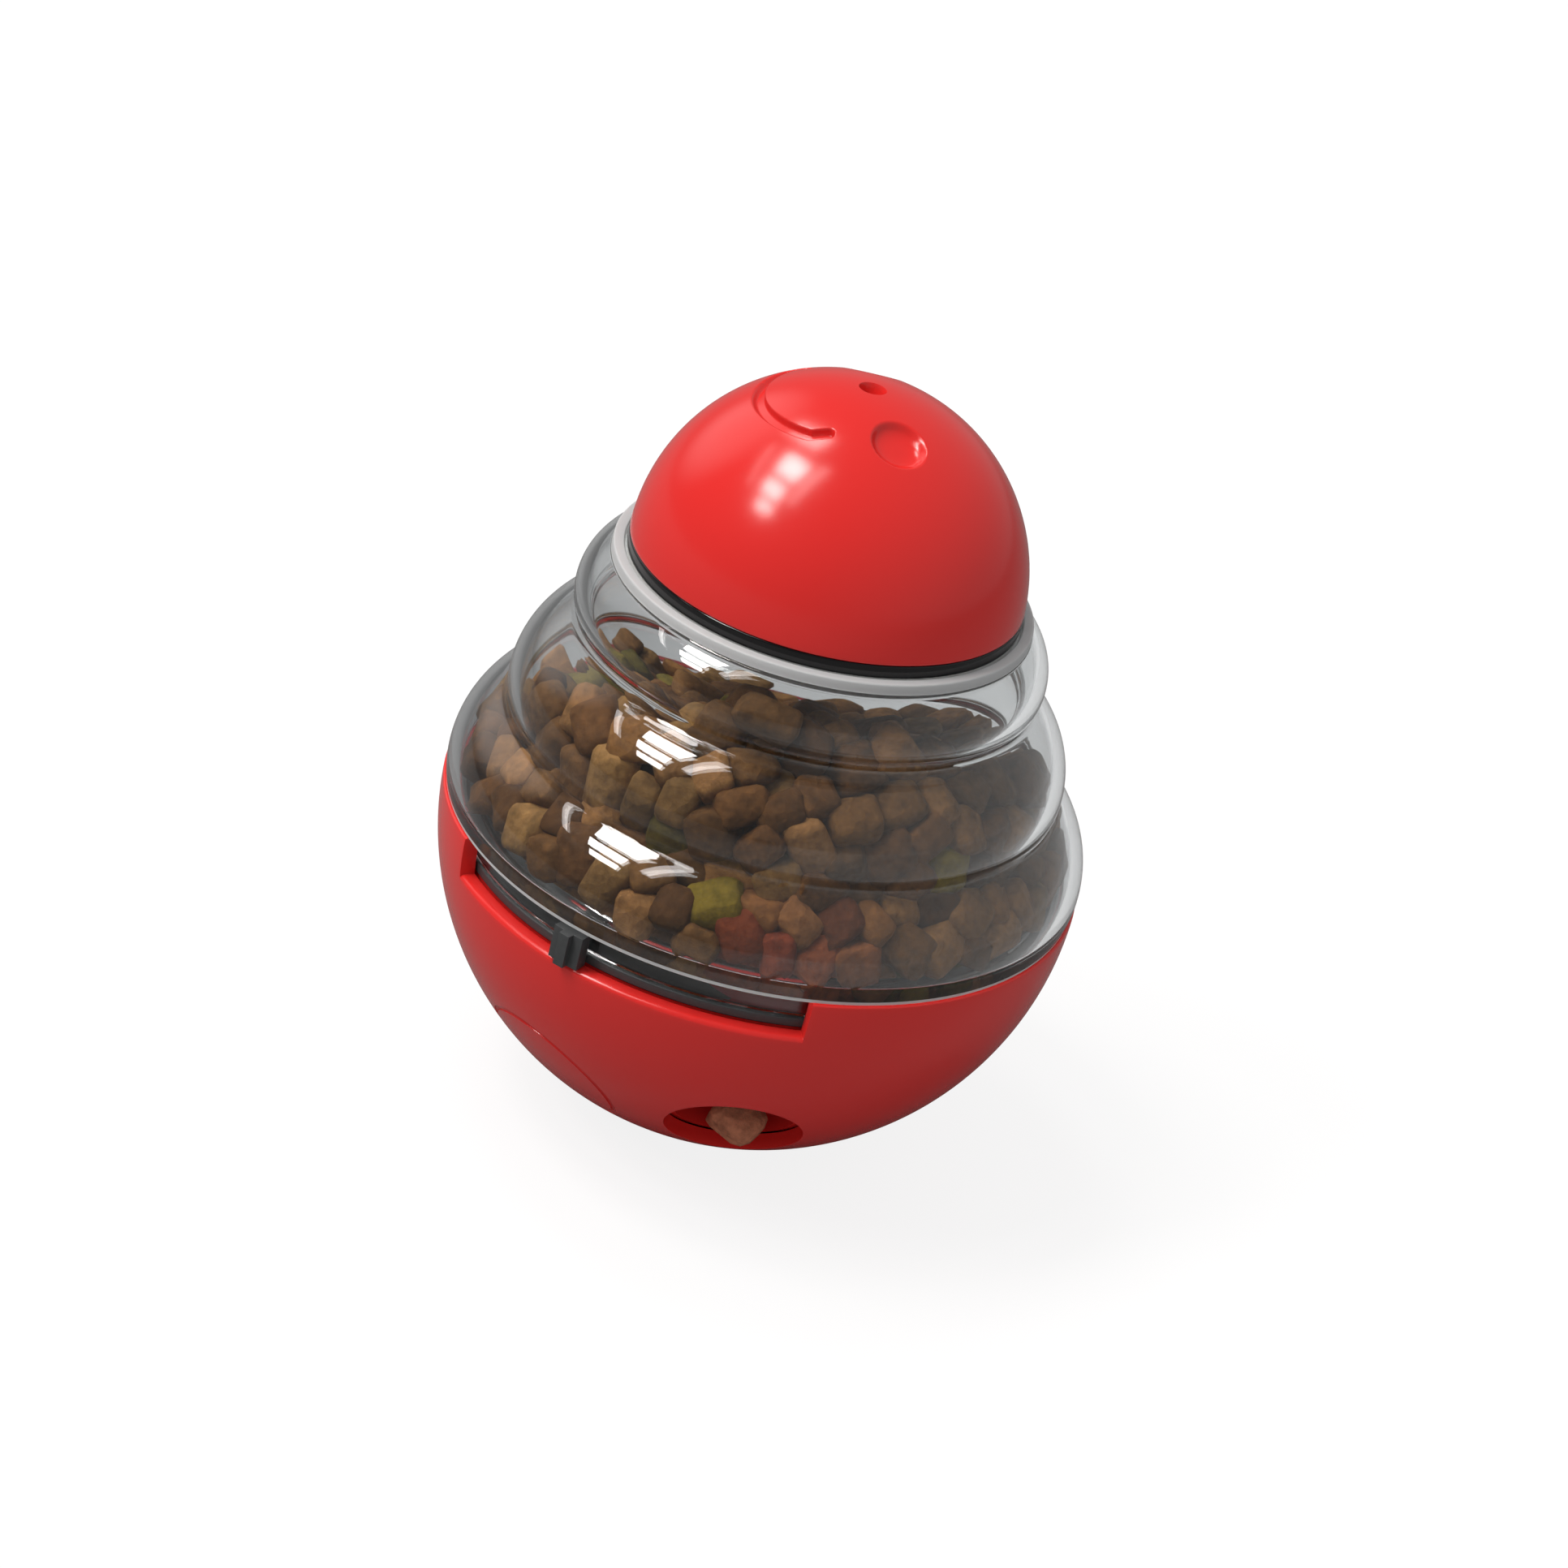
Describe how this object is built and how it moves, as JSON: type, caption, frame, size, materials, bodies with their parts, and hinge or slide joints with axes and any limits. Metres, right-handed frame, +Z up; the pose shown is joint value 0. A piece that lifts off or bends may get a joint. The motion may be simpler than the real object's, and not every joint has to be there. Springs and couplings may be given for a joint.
{
  "type": "tumbler treat ball",
  "caption": "Self-righting food puzzle ball: weighted round base, clear ring-stacked hopper, lever-set rotary gate over a side outlet, and a screw cap with a simple face.",
  "frame": {"origin": "middle of the flat foot under the ball", "axes": "+Z up along the ball's axis, the outlet and the lever slot face -Y"},
  "size_m": [0.11, 0.1099, 0.1368],
  "materials": {
    "red_abs": "satin-gloss moulded ABS",
    "smoke_pc": "polished clear polycarbonate with a light smoke tint",
    "dark_pom": "fine-grained acetal",
    "black_abs": "polished ABS",
    "seal_rubber": "matt pale silicone",
    "cast_iron": "as cast",
    "screw_steel": "zinc-plated"
  },
  "bodies": {
    "base": {"base_shell": "red_abs", "ballast_weight": "cast_iron", "ballast_screw": "screw_steel", "chute_floor": "red_abs", "floor_screws": "screw_steel", "gate_screw": "screw_steel"},
    "gate": {"gate_disc": "dark_pom", "gate_washer": "screw_steel"},
    "dome": {"clear_dome": "smoke_pc"},
    "seal": {"cap_seal": "seal_rubber"},
    "cap": {"cap_shell": "red_abs", "cap_collar": "black_abs"}
  },
  "joints": [
    {"name": "gate_turn", "type": "hinge", "parent": "base", "child": "gate", "pos_m": [0, 0, 0.05], "axis": [0, 0, 1], "range_deg": [-26.2, 39.7]},
    {"name": "dome_twist", "type": "hinge", "parent": "base", "child": "dome", "pos_m": [0, 0, 0.05], "axis": [0, 0, 1], "range_deg": [0, 20]},
    {"name": "cap_lift", "type": "slide", "parent": "dome", "child": "seal", "axis": [0, 0, 1], "range_m": [0, 0.06]},
    {"name": "cap_twist", "type": "hinge", "parent": "seal", "child": "cap", "pos_m": [0, 0, 0.1], "axis": [0, 0, 1], "range_deg": [0, 270]}
  ]
}
